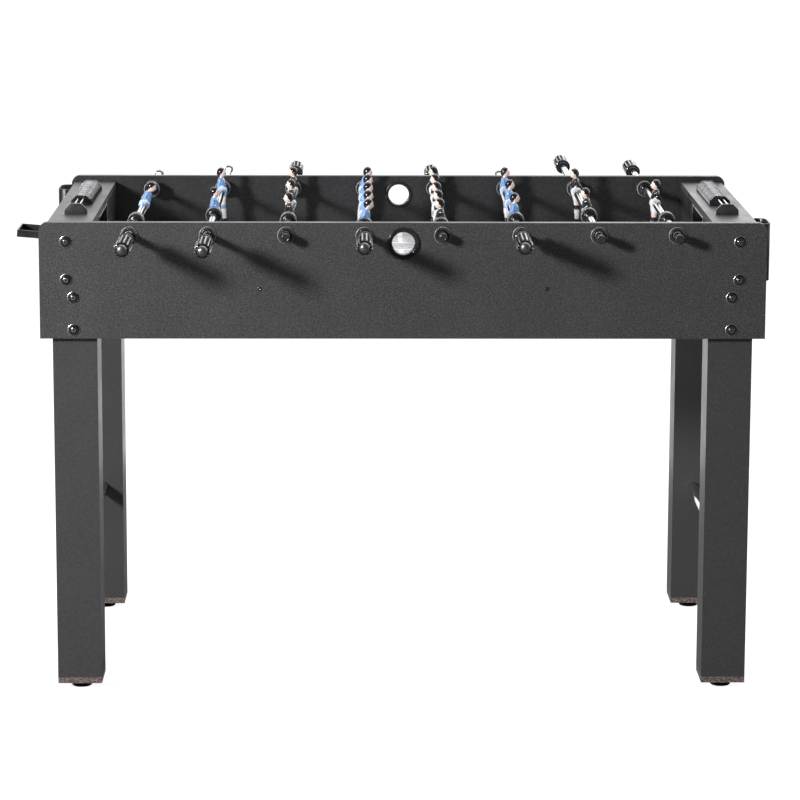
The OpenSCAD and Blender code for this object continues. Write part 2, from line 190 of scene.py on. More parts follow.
def place_output(tree):
    """Object coordinates, which are the frame's own metres on every piece."""
    return tree.nodes.new("ShaderNodeTexCoord").outputs["Object"]


def noise(tree, scale, detail=2.0, stretch=None):
    """Noise with about `scale` features per metre."""
    node = tree.nodes.new("ShaderNodeTexNoise")
    node.inputs["Scale"].default_value = scale
    node.inputs["Detail"].default_value = detail
    source = place_output(tree)
    if stretch:
        mapping = tree.nodes.new("ShaderNodeMapping")
        mapping.inputs["Scale"].default_value = stretch
        tree.links.new(source, mapping.inputs["Vector"])
        source = mapping.outputs[0]
    tree.links.new(source, node.inputs["Vector"])
    return node.outputs["Fac"]


def ramp(tree, value, stops):
    """Maps a value to a colour through (position, colour) stops."""
    node = tree.nodes.new("ShaderNodeValToRGB")
    elements = node.color_ramp.elements
    while len(elements) < len(stops):
        elements.new(0.5)
    for element, (position, colour) in zip(elements, stops):
        element.position = position
        element.color = (*colour, 1)
    tree.links.new(value, node.inputs["Fac"])
    return node.outputs["Color"]


def span(tree, value, low, high):
    """Maps noise's middle range to low..high."""
    node = tree.nodes.new("ShaderNodeMapRange")
    node.inputs["From Min"].default_value = 0.3
    node.inputs["From Max"].default_value = 0.7
    node.inputs["To Min"].default_value = low
    node.inputs["To Max"].default_value = high
    tree.links.new(value, node.inputs["Value"])
    return node.outputs["Result"]


def vary_gloss(tree, shader, scale, detail, low, high):
    """Lets the roughness wander between low and high."""
    tree.links.new(span(tree, noise(tree, scale, detail), low, high), shader.inputs["Roughness"])


def add_bump(tree, shader, height, depth, strength=1.0, under=None):
    """Bump of the given depth in metres, on top of another bump if one is given."""
    node = tree.nodes.new("ShaderNodeBump")
    node.inputs["Strength"].default_value = strength
    node.inputs["Distance"].default_value = depth
    tree.links.new(height, node.inputs["Height"])
    if under:
        tree.links.new(under, node.inputs["Normal"])
    tree.links.new(node.outputs[0], shader.inputs["Normal"])
    return node.outputs[0]


def shade(colour, factor):
    return tuple(min(1.0, c * factor) for c in colour)


def laminate(name, colour, roughness=0.42, contrast=1.8, depth=0.0006):
    """Charcoal laminate with a fine orange-peel grain and faint larger clouds."""
    material, tree, shader = new_material(name, colour, roughness)
    speckle = noise(tree, 430, 2)
    stops = [(0.3, shade(colour, 1 / contrast)), (0.5, colour), (0.7, shade(colour, contrast))]
    tree.links.new(ramp(tree, speckle, stops), shader.inputs["Base Color"])
    vary_gloss(tree, shader, 14, 2, roughness - 0.05, roughness + 0.06)
    grain = add_bump(tree, shader, noise(tree, 330, 2), depth, 0.6)
    add_bump(tree, shader, noise(tree, 3.5), 0.0015, 0.15, grain)
    return material


def moulded(name, colour, roughness, grain=1400, depth=0.00008, specular=0.5):
    """Moulded plastic with a fine texture and slightly uneven gloss."""
    material, tree, shader = new_material(name, colour, roughness)
    shader.inputs["Specular IOR Level"].default_value = specular
    stops = [(0.35, shade(colour, 0.8)), (0.65, shade(colour, 1.25))]
    tree.links.new(ramp(tree, noise(tree, 60, 3), stops), shader.inputs["Base Color"])
    vary_gloss(tree, shader, 90, 3, roughness * 0.8, roughness * 1.25)
    add_bump(tree, shader, noise(tree, grain, 2), depth, 0.6)
    return material


def metal(name, colour, roughness, stretch=None):
    """Metal with fine marks left by its polishing."""
    material, tree, shader = new_material(name, colour, roughness, 1.0)
    marks = noise(tree, 900, 3, stretch)
    tree.links.new(span(tree, marks, roughness * 0.7, roughness * 1.5), shader.inputs["Roughness"])
    add_bump(tree, shader, marks, 0.00002, 0.4)
    return material


def particle_board(name):
    """Raw particle board: pale and dark chips pressed together."""
    material, tree, shader = new_material(name, (0.3, 0.19, 0.11), 0.8)
    chips = tree.nodes.new("ShaderNodeTexVoronoi")
    chips.inputs["Scale"].default_value = 420
    mapping = tree.nodes.new("ShaderNodeMapping")
    mapping.inputs["Scale"].default_value = (1, 1, 2.2)
    tree.links.new(place_output(tree), mapping.inputs["Vector"])
    tree.links.new(mapping.outputs[0], chips.inputs["Vector"])
    tone = tree.nodes.new("ShaderNodeSeparateColor")
    tree.links.new(chips.outputs["Color"], tone.inputs[0])
    stops = [(0.0, (0.04, 0.029, 0.026)), (0.5, (0.12, 0.092, 0.083)), (1.0, (0.3, 0.235, 0.21))]
    tree.links.new(ramp(tree, tone.outputs[0], stops), shader.inputs["Base Color"])
    add_bump(tree, shader, chips.outputs["Distance"], 0.0004, 0.7)
    return material


def calc(tree, kind, a, b=0.0):
    """One arithmetic node; a and b are numbers or sockets."""
    node = tree.nodes.new("ShaderNodeMath")
    node.operation = kind
    for socket, value in zip(node.inputs, (a, b)):
        if isinstance(value, (int, float)):
            socket.default_value = value
        else:
            tree.links.new(value, socket)
    return node.outputs[0]


def edge_gap(tree, past_x, past_y):
    """Distance to the outline of a rectangle, from how far a point lies past its sides."""
    return calc(tree, "ABSOLUTE", calc(tree, "MAXIMUM", past_x, past_y))


def pitch_lines(tree):
    """1 on a pitch line and 0 off it, worked out from the distance to each line."""
    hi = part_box("playfield")[1]
    under_wall = 0.012
    line_w, border, circle_r = 0.0085, 0.022, 0.040
    area_l, area_w = 0.115, 0.155
    split = tree.nodes.new("ShaderNodeSeparateXYZ")
    tree.links.new(place_output(tree), split.inputs[0])
    across = calc(tree, "ABSOLUTE", split.outputs["X"])
    along = calc(tree, "ABSOLUTE", split.outputs["Y"])
    squares = calc(tree, "ADD", calc(tree, "POWER", across, 2), calc(tree, "POWER", along, 2))
    radius = calc(tree, "POWER", squares, 0.5)
    half_x, half_y = hi.x - under_wall - border, hi.y - border

    past_end = calc(tree, "SUBTRACT", across, half_x)
    frame_gap = edge_gap(tree, past_end, calc(tree, "SUBTRACT", along, half_y))
    short_of_area = calc(tree, "SUBTRACT", half_x - area_l, across)
    area_gap = edge_gap(tree, short_of_area, calc(tree, "SUBTRACT", along, area_w))
    area_gap = calc(tree, "ADD", area_gap, calc(tree, "GREATER_THAN", across, half_x))
    middle_gap = calc(tree, "ADD", across, calc(tree, "LESS_THAN", radius, circle_r))
    circle_gap = calc(tree, "ABSOLUTE", calc(tree, "SUBTRACT", radius, circle_r))

    straight_gap = calc(tree, "MINIMUM", frame_gap, area_gap)
    centre_gap = calc(tree, "MINIMUM", middle_gap, circle_gap)
    gap = calc(tree, "MINIMUM", straight_gap, centre_gap)
    inside = calc(tree, "LESS_THAN", along, half_y + line_w)
    return calc(tree, "MULTIPLY", calc(tree, "LESS_THAN", gap, line_w / 2), inside)


def printed_field(name):
    """Light grey playfield with white pitch lines."""
    material, tree, shader = new_material(name, (0.5, 0.51, 0.53), 0.3)
    grey = ramp(tree, noise(tree, 30, 4), [(0.3, (0.44, 0.45, 0.47)), (0.7, (0.52, 0.53, 0.55))])
    mix = tree.nodes.new("ShaderNodeMix")
    mix.data_type = "RGBA"
    tree.links.new(pitch_lines(tree), mix.inputs["Factor"])
    tree.links.new(grey, mix.inputs["A"])
    mix.inputs["B"].default_value = (0.9, 0.9, 0.9, 1)
    tree.links.new(mix.outputs["Result"], shader.inputs["Base Color"])
    vary_gloss(tree, shader, 120, 3, 0.24, 0.36)
    add_bump(tree, shader, noise(tree, 900, 2), 0.00005, 0.4)
    return material


def enamel(name, colour, roughness=0.22, mottle=0.12):
    """Glossy paint on a moulded figure, a little uneven where it pooled."""
    material, tree, shader = new_material(name, colour, roughness)
    shader.inputs["Coat Weight"].default_value = 0.4
    shader.inputs["Coat Roughness"].default_value = 0.08
    stops = [(0.35, shade(colour, 1 - mottle)), (0.65, shade(colour, 1 + mottle))]
    tree.links.new(ramp(tree, noise(tree, 320, 3), stops), shader.inputs["Base Color"])
    vary_gloss(tree, shader, 260, 2, roughness * 0.8, roughness * 1.3)
    add_bump(tree, shader, noise(tree, 420, 2), 0.0002, 0.35)
    return material


PAINT = {
    "laminate": laminate("laminate_charcoal", (0.05, 0.05, 0.052)),
    "top_laminate": laminate("laminate_top", (0.05, 0.05, 0.052), 0.42, 1.5, 0.00028),
    "leg_laminate": laminate("laminate_smooth", (0.052, 0.052, 0.054), 0.36, 1.25, 0.00015),
    # Near-black laminate: the goal walls, and painted shade on the side panels' inner faces.
    "goal_wall": laminate("laminate_black_and_painted_shade", (0.02, 0.02, 0.021)),
    "field": printed_field("field_print"),
    "raw_wood": particle_board("particle_board"),
    "chrome": metal("chrome_polished", (0.56, 0.57, 0.59), 0.1, (1, 0.02, 1)),
    "steel": metal("bolt_black_oxide", (0.12, 0.12, 0.125), 0.2),
    "satin_black": moulded("plastic_satin_black", (0.016, 0.016, 0.017), 0.2),
    "plate": moulded("plastic_plate_black", (0.035, 0.035, 0.037), 0.3),
    # Lighter grey metal on the handles' domed ends: a painted highlight on black plastic.
    "dome": metal("plastic_dome_painted_highlight", (0.22, 0.22, 0.225), 0.33),
    "gloss_black": moulded("plastic_gloss_black", (0.012, 0.012, 0.013), 0.1, 500, 0.00002),
    # Grey metal on the handles' ridges: a painted highlight on black plastic.
    "ridge": metal("plastic_ridge_painted_highlight", (0.13, 0.13, 0.134), 0.22),
    "ridge_black": moulded("plastic_ridge_black", (0.03, 0.03, 0.032), 0.13, 500, 0.00003),
    # Near-black and matt in the handles' grooves and the bumpers' dimples: painted shade.
    "groove_painted_shade": moulded("plastic_painted_shade_groove", (0.005, 0.005, 0.005), 0.6, specular=0.1),
    "rubber": moulded("rubber_black", (0.014, 0.014, 0.015), 0.24, 800, 0.00006),
    "pocket": moulded("plastic_pocket_black", (0.013, 0.013, 0.014), 0.38),
    "trim": moulded("plastic_trim_grey", (0.62, 0.62, 0.64), 0.25),
    "counter": moulded("plastic_counter_silver", (0.3, 0.305, 0.32), 0.26),
    # Near-black and matt in the counters' grooves: painted shade.
    "counter_painted_shade": moulded("plastic_painted_shade_counter", (0.008, 0.008, 0.008), 0.6, specular=0.1),
    "flange": moulded("plastic_flange_black", (0.04, 0.04, 0.042), 0.3),
    # Light grey on the rounded rims of the bushings, scorer plates and bumpers: a painted highlight.
    "edge": moulded("plastic_painted_highlight_edge", (0.36, 0.36, 0.37), 0.25),
    # Light metal on the rims of the washers and bolt heads: a painted highlight.
    "steel_painted_highlight": metal("bolt_painted_highlight", (0.7, 0.7, 0.72), 0.3),
    "skin": enamel("paint_skin", (0.93, 0.73, 0.64), 0.28, 0.04),
    "hair": enamel("paint_hair", (0.012, 0.010, 0.009), 0.18),
    "white": enamel("paint_white", (0.86, 0.86, 0.87), 0.24, 0.03),
    "blue": enamel("paint_blue", (0.2, 0.37, 0.68), 0.2, 0.25),
    "pale_blue": enamel("paint_pale_blue", (0.62, 0.74, 0.9), 0.24, 0.08),
    "black": enamel("paint_black", (0.016, 0.017, 0.02), 0.18, 0.3),
    "lips": enamel("paint_lips", (0.55, 0.25, 0.2), 0.35, 0.05),
}


# ---------------------------------------------------------------- shape building
class Form:
    """Closed shapes collected into one mesh, each with its own paint."""

    def __init__(self):
        self.points, self.faces, self.paints, self.palette = [], [], [], []

    def add(self, shape, paint, place=Matrix()):
        points, faces = shape[:2]
        first = len(self.points)
        self.points += [place @ Vector(p) for p in points]
        mirrored = place.determinant() < 0
        for number, face in enumerate(faces):
            own = paint if isinstance(paint, str) else paint[number]
            if own not in self.palette:
                self.palette.append(own)
            corners = [first + i for i in face]
            self.faces.append(corners[::-1] if mirrored else corners)
            self.paints.append(self.palette.index(own))

    def merge(self, other, place):
        first = len(self.points)
        self.points += [place @ p for p in other.points]
        self.faces += [[first + i for i in face] for face in other.faces]
        for paint in other.palette:
            if paint not in self.palette:
                self.palette.append(paint)
        self.paints += [self.palette.index(other.palette[i]) for i in other.paints]

    def piece(self, name, body, replaces, crease):
        """Makes the mesh, rides it on its body and hides the CAD nodes it stands for."""
        mesh = bpy.data.meshes.new(name)
        mesh.from_pydata([tuple(p) for p in self.points], [], self.faces)
        for paint in self.palette:
            mesh.materials.append(PAINT[paint])
        mesh.polygons.foreach_set("material_index", self.paints)
        mesh.polygons.foreach_set("use_smooth", [True] * len(self.faces))
        mesh.set_sharp_from_angle(angle=math.radians(crease))
        mesh.update()
        obj = bpy.data.objects.new(name, mesh)
        bpy.context.scene.collection.objects.link(obj)
        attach(obj, body)
        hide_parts(*replaces)


def round_edges(obj, width):
    """Rounds an object's edges with modifiers, which leave its own mesh alone."""
    weld = obj.modifiers.new("weld", "WELD")
    weld.merge_threshold = 1e-5
    bevel = obj.modifiers.new("bevel", "BEVEL")
    bevel.width = width
    bevel.segments = 2
    bevel.limit_method = "ANGLE"
    bevel.angle_limit = math.radians(40)
    bevel.harden_normals = True


def turned(profile, steps, closed=False, shape=None):
    """Turns (radius, height) points round Z. `shape` may change a point by its angle."""
    points, faces, rings = [], [], []
    for number, (radius, height) in enumerate(profile):
        if radius == 0:
            rings.append([len(points)])
            points.append((0, 0, height))
            continue
        ring = []
        for step in range(steps):
            angle = 2 * math.pi * step / steps
            r, h = shape(radius, height, angle, number) if shape else (radius, height)
            ring.append(len(points))
            points.append((r * math.cos(angle), r * math.sin(angle), h))
        rings.append(ring)
    pairs = list(zip(rings, rings[1:]))
    if closed:
        pairs.append((rings[-1], rings[0]))
    for low, high in pairs:
        for step in range(steps):
            after = (step + 1) % steps
            if len(low) == 1:
                faces.append((low[0], high[after], high[step]))
            elif len(high) == 1:
                faces.append((low[step], low[after], high[0]))
            else:
                faces.append((low[step], low[after], high[after], high[step]))
    return points, faces


def middle_of(points, face):
    """Mean of a face's corners."""
    return sum((Vector(points[i]) for i in face), Vector()) / len(face)


def ringed(profile, steps, paint, others):
    """Paints for a closed turned shape: one for all its bands, but for the numbered bands in `others`."""
    paints = []
    for band in range(len(profile)):
        own = next((name for name, bands in others.items() if band in bands), paint)
        paints += [own] * steps
    return paints


def lofted(rings):
    """Skins rings of equal length, from the lowest to the highest, and closes both ends."""
    count = len(rings[0])
    points = [p for ring in rings for p in ring]
    faces = [tuple(range(count))[::-1]]
    for level in range(len(rings) - 1):
        base = level * count
        for i in range(count):
            j = (i + 1) % count
            faces.append((base + i, base + j, base + count + j, base + count + i))
    top = (len(rings) - 1) * count
    faces.append(tuple(range(top, top + count)))
    return points, faces


def oval(x, y, z, depth, width, square=2.0, count=20):
    """Ring round Z with the given half sizes; above 2, `square` makes it boxier."""
    ring = []
    for i in range(count):
        angle = 2 * math.pi * (i + 0.5) / count
        c, s = math.cos(angle), math.sin(angle)
        ring.append((
            x + depth * math.copysign(abs(c) ** (2 / square), c),
            y + width * math.copysign(abs(s) ** (2 / square), s),
            z,
        ))
    return ring


def tube(path, radii, count=12):
    """Round bar along a path of points, with a radius for each."""
    rings = []
    points = [Vector(p) for p in path]
    for i, point in enumerate(points):
        ahead = (points[min(i + 1, len(points) - 1)] - points[max(i - 1, 0)]).normalized()
        side = ahead.cross(Vector((1, 0, 0)) if abs(ahead.x) < 0.9 else Vector((0, 1, 0))).normalized()
        up = side.cross(ahead)
        ring = []
        for k in range(count):
            angle = 2 * math.pi * k / count
            ring.append(point + radii[i] * (math.cos(angle) * side - math.sin(angle) * up))
        rings.append(ring)
    return lofted(rings)


def heading(fall, turn):
    """Direction that falls from +Z by one angle and turns round Z by another."""
    out = math.sin(fall)
    return Vector((out * math.cos(turn), out * math.sin(turn), math.cos(fall)))


def ball(radius_at, rows=18, steps=28):
    """Closed skin round a centre; radius_at gives the point for a direction."""
    points = [radius_at(Vector((0, 0, -1)))]
    for row in range(1, rows):
        fall = math.pi * row / rows
        for step in range(steps):
            turn = 2 * math.pi * step / steps
            points.append(radius_at(heading(math.pi - fall, turn)))
    points.append(radius_at(Vector((0, 0, 1))))
    last = len(points) - 1
    faces = []
    for step in range(steps):
        after = (step + 1) % steps
        faces.append((0, 1 + after, 1 + step))
        top = 1 + (rows - 2) * steps
        faces.append((top + step, top + after, last))
        for row in range(rows - 2):
            low = 1 + row * steps
            faces.append((low + step, low + after, low + steps + after, low + steps + step))
    return points, faces


def egg(centre, depth, width, height, rows=10, steps=16):
    """Plain ellipsoid with the given half sizes."""
    return ball(lambda d: Vector(centre) + Vector((d.x * depth, d.y * width, d.z * height)), rows, steps)


# ---------------------------------------------------------------- cabinet and legs
def paint_node(node, paint, bevel=0.0):
    """Gives a CAD node its finish, and rounds its edges where a width is given."""
    obj = NODES[node]
    obj.data.materials.clear()
    obj.data.materials.append(PAINT[paint])
    if bevel:
        round_edges(obj, bevel)


def paint_faces(node, paint, chosen):
    """Gives some faces of a CAD node another finish; chosen(centre, normal) picks them."""
    mesh = NODES[node].data
    mesh.materials.append(PAINT[paint])
    slot = len(mesh.materials) - 1
    place = NODES[node].matrix_world
    turn = place.to_3x3()
    for face in mesh.polygons:
        if chosen(place @ face.center, turn @ face.normal):
            face.material_index = slot


def add_boards():
    """Finishes of the nodes that keep their CAD shapes: boards, legs, tubes and plain plastic parts."""
    board_edge, block_edge, thin_edge = 0.0008, 0.0006, 0.0004
    for node in ("side_panel_front", "side_panel_rear", "end_walls"):
        paint_node(node, "laminate", board_edge)
    paint_node("end_tops", "top_laminate", board_edge)
    for end in ("front", "rear"):
        for side in ("left", "right"):
            paint_node(f"leg_{end}_{side}", "leg_laminate", board_edge)
    paint_node("goal_walls", "goal_wall", board_edge)
    paint_node("playfield", "field", thin_edge)
    for node in ("support_blocks", "leg_end_blocks"):
        paint_node(node, "raw_wood", block_edge)
    for node in ("leg_stretchers", "scorer_wires"):
        paint_node(node, "chrome")
    for node in ("end_tray", "corner_pockets"):
        paint_node(node, "pocket", block_edge)
    for node, inward in (("side_panel_front", 1), ("side_panel_rear", -1)):
        # The side panels' inner faces get the darker laminate as painted shade.
        paint_faces(node, "goal_wall", lambda centre, normal, inward=inward: normal.y * inward > 0.9)
        paint_faces(node, "top_laminate", lambda centre, normal: normal.z > 0.9)
    paint_node("goal_boxes", "pocket", thin_edge)
    wall_t = 0.012
    trim_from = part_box("goal_walls")[1].x - wall_t
    paint_faces("goal_boxes", "trim", lambda centre, normal: abs(centre.x) < trim_from)


def leveler(pad_r, top):
    """Levelling foot in mm: round pad with a soft rim, hexagon lock nut and threaded stem."""
    pad = [(0, 0), (pad_r - 1, 0), (pad_r, 1), (pad_r, 3.6), (pad_r - 0.8, 4.6), (13, 5.4), (11.5, 7.2),
           (10.8, 8), (0, 8)]
    nut = [(0, 8), (6.6, 8), (7.5, 8.5), (7.5, 12.2), (6.6, 12.7), (0, 12.7)]
    root_r, crest_r, crest_rise, pitch = 3.3, 4.0, 0.6, 1.25
    thread = [(0, 12.6)]
    for k in range(int((top - 13) / pitch)):
        height = 12.8 + pitch * k
        thread += [(root_r, height), (crest_r, height + crest_rise)]
    thread += [(root_r, top - 0.3), (0, top)]
    return turned(pad, 56), turned(nut, 6), turned(thread, 24)


def add_levelers():
    for end in ("front", "rear"):
        for side in ("left", "right"):
            node = f"leveler_{end}_{side}"
            body = f"foot_{end}_{side}"
            lo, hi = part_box(node)
            place = Matrix.Translation(((lo.x + hi.x) / 2, (lo.y + hi.y) / 2, 0)) @ IN_MM
            pad, nut, thread = leveler((hi.x - lo.x) / 2 / MM, hi.z / MM)
            form = Form()
            form.add(pad, "rubber", place)
            form.add(nut, "steel", place)
            form.add(thread, "steel", place)
            form.piece(body, body, [node], crease=30)


def add_bushings():
    """Rod bearings: a flanged sleeve through each side panel with a raised lip round the bore."""
    form = Form()
    panel_lo, panel_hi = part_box("side_panel_rear")
    inner, outer = panel_lo.y / MM, panel_hi.y / MM
    sleeve, bore = 9.9, 6.4
    profile = [
        (bore, inner - 2.5), (8.6, inner - 2.5), (9.2, inner - 1.9), (13.2, inner - 1.9),
        (14.1, inner - 1.4), (14.1, inner), (sleeve, inner), (sleeve, outer), (14.5, outer),
        (14.5, outer + 1.6),
        (13.9, outer + 2.4), (12.6, outer + 2.7), (11, outer + 2.5), (9.6, outer + 1.9), (9, outer + 3),
        (7.2, outer + 3), (bore, outer + 2.3),
    ]
    steps = 48
    # The outer rim and the bore's edge are painted light grey as a painted highlight.
    rims, lip = (9, 15), (13, 14)
    shape = turned(profile, steps, closed=True)
    paints = ringed(profile, steps, "flange", {"edge": rims, "gloss_black": lip})
    for number in range(8):
        lo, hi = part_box(f"rod{number + 1}_tube")
        for turn in BOTH_PANELS:
            place = Matrix.Translation(((lo.x + hi.x) / 2, 0, (lo.z + hi.z) / 2)) @ turn
            form.add(shape, paints, place @ ALONG_Y @ IN_MM)
    form.piece("bushings", "cabinet", ["rod_bushings"], crease=50)


def add_entry_rings():
    """Dished rings of the ball entry holes."""
    form = Form()
    lo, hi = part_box("ball_entry_rings")
    panel_lo, panel_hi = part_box("side_panel_rear")
    inner, outer = panel_lo.y / MM, panel_hi.y / MM
    bore, rim = 19.2, (hi.x - lo.x) / 2 / MM
    profile = [
        (bore, inner - 2.0), (bore + 0.6, inner - 2.5), (24.2, inner - 2.5), (25, inner - 1.7), (25, inner),
        (21.9, inner), (21.9, outer), (rim, outer), (rim, outer + 1.4), (rim - 0.7, outer + 2.6),
        (rim - 2, outer + 3), (rim - 3.2, outer + 2.6), (bore + 2.2, outer + 1.5), (bore + 0.7, outer + 0.9),
        (bore, outer - 0.2),
    ]
    shape = turned(profile, 72, closed=True)
    for turn in BOTH_PANELS:
        place = Matrix.Translation((0, 0, (lo.z + hi.z) / 2)) @ turn
        form.add(shape, "satin_black", place @ ALONG_Y @ IN_MM)
    form.piece("entry_rings", "cabinet", ["ball_entry_rings"], crease=50)


def hexagon(apothem, angle):
    """Radius of a hexagon with the given apothem at an angle."""
    turn = math.radians(60)
    return apothem / math.cos((angle % turn) - turn / 2)


def add_bolts():
    """Button-head bolts with a hexagon socket, on washers."""
    form = Form()
    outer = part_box("side_panel_rear")[1].y
    tip = -35
    washer = [(3.1, 0), (10.1, 0), (10.5, 0.4), (10.5, 1.1), (9.9, 1.5), (3.1, 1.5)]
    head = [(0, tip), (2.6, tip), (3, tip + 0.6), (3, 1.5), (6.2, 1.5), (6.5, 1.9), (6.4, 2.7), (5.7, 3.7),
            (4.5, 4.5), (3.1, 4.9), (2.3, 4.9), (2.3, 2.6), (0, 2.2)]
    socket_from, socket_half_width = 10, 2.2

    def socket(radius, height, angle, number):
        in_socket = socket_from <= number < len(head) - 1
        return (hexagon(socket_half_width, angle) if in_socket else radius), height

    # Rings on the washer's rim and round the head are painted light metal as a painted highlight.
    washer_paints = ringed(washer, 40, "steel", {"steel_painted_highlight": (1, 3)})
    head_paints = ringed(head[1:], 48, "steel", {"steel_painted_highlight": (5, 9)})
    spots = [(564.5, 782.5), (564.5, 718), (552.5, 688), (552.5, 633)]
    for turn in BOTH_PANELS:
        for side in (-1, 1):
            for number, (x, z) in enumerate(spots):
                spin = Matrix.Rotation(math.radians(17 + 23 * number + 11 * side), 4, "Z")
                place = turn @ Matrix.Translation((side * x * MM, outer, z * MM)) @ ALONG_Y @ IN_MM @ spin
                form.add(turned(washer, 40, closed=True), washer_paints, place)
                form.add(turned(head, 48, shape=socket), head_paints, place)
    form.piece("bolts", "cabinet", ["panel_bolts"], crease=35)


def add_screws():
    """Small pan-head screws with a cross recess."""
    form = Form()
    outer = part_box("side_panel_rear")[1].y
    lo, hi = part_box("cleat_screws")
    head_r = 3.6 * MM
    profile = [(0, -27), (2, -25), (2, 0), (3.5, 0), (3.6, 0.4), (3.2, 1.1), (2.2, 1.5), (1.6, 1.5),
               (1.0, 1.2), (0, 0.7)]
    recess_from = 7

    def cross(radius, height, angle, number):
        in_cross = number >= recess_from and abs(math.sin(2 * angle)) < 0.55
        return radius, height - 0.6 if in_cross else height

    for turn in BOTH_PANELS:
        for x in (lo.x + head_r, hi.x - head_r):
            place = turn @ Matrix.Translation((x, outer, (lo.z + hi.z) / 2)) @ ALONG_Y @ IN_MM
            form.add(turned(profile, 32, shape=cross), "steel", place)
    form.piece("screws", "cabinet", ["cleat_screws"], crease=35)


# ---------------------------------------------------------------- scorers
def arch(width, height, inset=0.0):
    """Outline of a scorer's plate or counter with softened corners, pulled in by `inset`."""
    half, top, knee = width / 2 - inset, height - inset, height * 0.44 - inset * 0.4
    crown = width * 0.24 - inset * 0.4
    corners = [(-half, 0), (half, 0), (half, knee), (crown, top), (-crown, top), (-half, knee)]
    soft = [0.8, 0.8, 3.0, 2.5, 2.5, 3.0]
    outline = []
    for i, corner in enumerate(corners):
        here = Vector(corner)
        before = (Vector(corners[i - 1]) - here).normalized() * soft[i]
        after = (Vector(corners[(i + 1) % len(corners)]) - here).normalized() * soft[i]
        for k in range(5):
            t = k / 4
            outline.append(here + before * (1 - t) ** 2 + after * t ** 2)
    return outline


def plate(width, height, thickness):
    """Scorer end plate with a rounded rim, standing on the XZ plane and going along +Y."""
    steps = [(thickness, 1.0), (thickness - 0.25, 0.35), (thickness - 0.8, 0), (0.8, 0), (0.25, 0.35),
             (0, 1.0)]
    shape = lofted([[(p.x, y, p.y) for p in arch(width, height, inset)] for y, inset in steps])
    around = len(arch(width, height))
    # Both rounded rims are painted light grey as a painted highlight.
    paints = ["plate"]
    for band in ("plate", "edge", "plate", "edge", "plate"):
        paints += [band] * around
    return shape, paints + ["plate"]


def ribbed_arch(width, height, inset, depth):
    """Outline of a counter with lengthwise grooves in its flanks, and which of its sides lie in a groove."""
    outline = arch(width, height, inset)
    points, grooved = [], []
    for here, ahead in zip(outline, outline[1:] + outline[:1]):
        run = ahead - here
        normal = Vector((run.y, -run.x)).normalized()
        count = round(run.length / 3.1) if run.length > 5 and here.y > 0.5 else 0
        points.append(here)
        grooved.append(False)
        for k in range(count):
            for share, cut in ((0.24, 0), (0.3, depth), (0.86, depth), (0.92, 0)):
                points.append(here + run * ((k + share) / count) - normal * cut)
                grooved.append(cut == depth)
    return points, grooved


def counter(width, height, length):
    """Counter along +Y: raised studs between grooves that cross on its sides and top."""
    soft, cut, stud = (0.9, 0.2), (0.6, 0.3), (0, 0.55)
    waist_from, waist_to = length * 0.46, length * 0.54
    rings = [(length, *soft), (length - 0.2, *soft), (length - 0.5, *stud), (waist_to, *stud),
             (length * 0.52, *cut), (length * 0.48, *cut), (waist_from, *stud), (0.5, *stud),
             (0.2, *soft), (0, *soft)]
    outlines = [ribbed_arch(width, height, inset, depth) for _, inset, depth in rings]
    shape = lofted([[(p.x, ring[0], p.y) for p in outline] for ring, (outline, _) in zip(rings, outlines)])
    # The grooves, the waist and the end bevels are painted near-black as painted shade.
    paints = ["satin_black"]
    for (_, low, _), (_, high, _) in zip(rings, rings[1:]):
        for grooved in outlines[0][1]:
            paints.append("counter_painted_shade" if grooved or low + high > 0.9 else "counter")
    return shape, paints + ["satin_black"]


def add_scorers():
    """Ten counters on each end board, between two plates."""
    board_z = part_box("end_tops")[1].z
    plate_t, width, height = 3, 40, 18.6
    count, counter_gap, lift = 10, 0.2, 1
    frames_lo, frames_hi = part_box("scorer_frames")
    plates = Form()
    for name in ("left", "right"):
        lo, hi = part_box(f"scorer_counters_{name}")
        middle = (lo.x + hi.x) / 2
        for y in (frames_lo.y, frames_hi.y - plate_t * MM):
            place = Matrix.Translation((middle, y, board_z)) @ IN_MM
            plates.add(*plate(width, height, plate_t), place)
        block = Form()
        step = (hi.y - lo.y) / count
        shape, paints = counter(width - 3, height - 2, step / MM - counter_gap)
        for k in range(count):
            place = Matrix.Translation((middle, lo.y + k * step, board_z + lift * MM)) @ IN_MM
            block.add(shape, paints, place)
        body = f"counters_{name}"
        block.piece(body, body, [f"scorer_counters_{name}"], crease=30)
    plates.piece("scorer_plates", "cabinet", ["scorer_frames"], crease=30)


